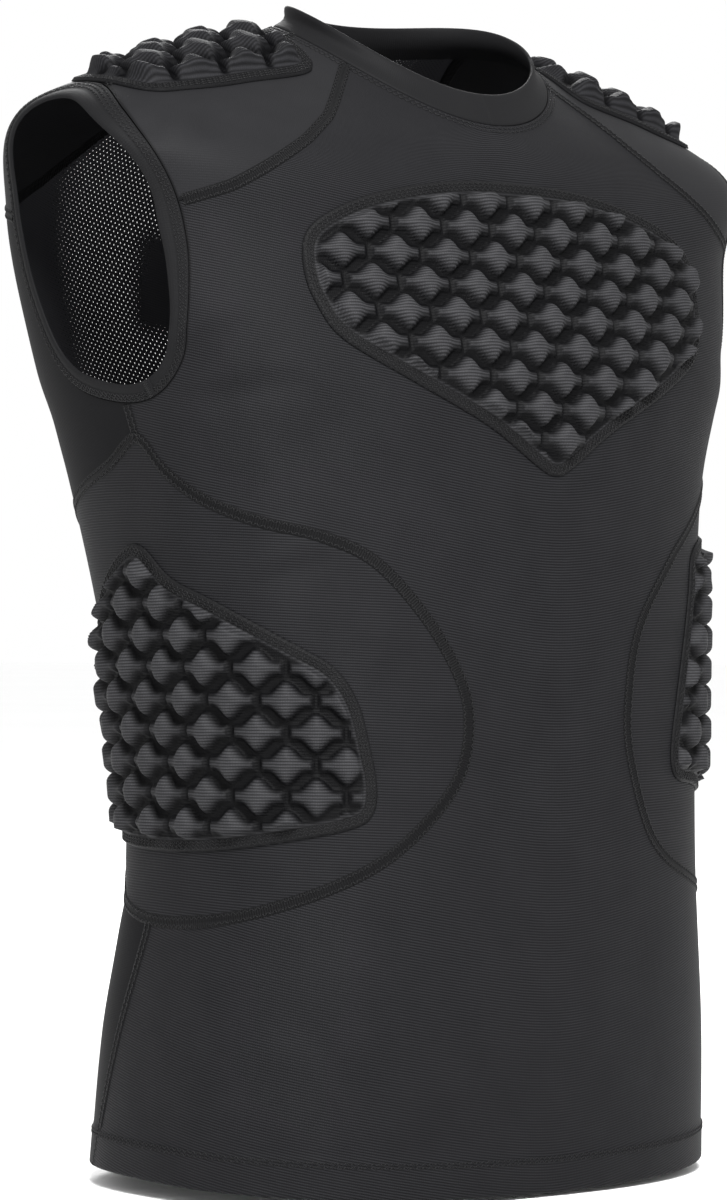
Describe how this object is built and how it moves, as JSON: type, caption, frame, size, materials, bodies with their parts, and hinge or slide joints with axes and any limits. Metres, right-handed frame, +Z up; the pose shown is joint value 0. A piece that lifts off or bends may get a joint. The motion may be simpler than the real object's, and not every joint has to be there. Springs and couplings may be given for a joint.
{
  "type": "padded sleeveless compression shirt",
  "caption": "Sleeveless tight padded shirt in its worn shape, hollow, with bumpy foam pads on chest, ribs and shoulders and a perforated back.",
  "frame": {"origin": "on the centre line, level with the top of the shoulders, where the wearer carries the shirt", "axes": "+Z up towards the neck, -Y out of the chest, +X towards the wearer's left"},
  "size_m": [0.434, 0.2729, 0.6025],
  "materials": {
    "ribbed_knit": "fine crosswise-ribbed stretch knit, matt with a faint sheen",
    "perforated_knit": "stretch knit with small round holes",
    "smooth_knit": "smooth stretch knit, matt",
    "folded_trim": "folded smooth knit, coverstitched",
    "moulded_pad": "ribbed knit bonded over moulded foam bumps"
  },
  "bodies": {
    "root": {"front_panel": "ribbed_knit", "back_panel": "perforated_knit", "collar": "folded_trim", "yoke_right": "smooth_knit", "yoke_left": "smooth_knit", "armhole_binding_right": "folded_trim", "armhole_binding_left": "folded_trim", "side_panel_right": "ribbed_knit", "side_panel_left": "ribbed_knit", "chest_pad": "moulded_pad", "rib_pad_right": "moulded_pad", "rib_pad_left": "moulded_pad", "shoulder_pad_right": "moulded_pad", "shoulder_pad_left": "moulded_pad"}
  },
  "joints": []
}
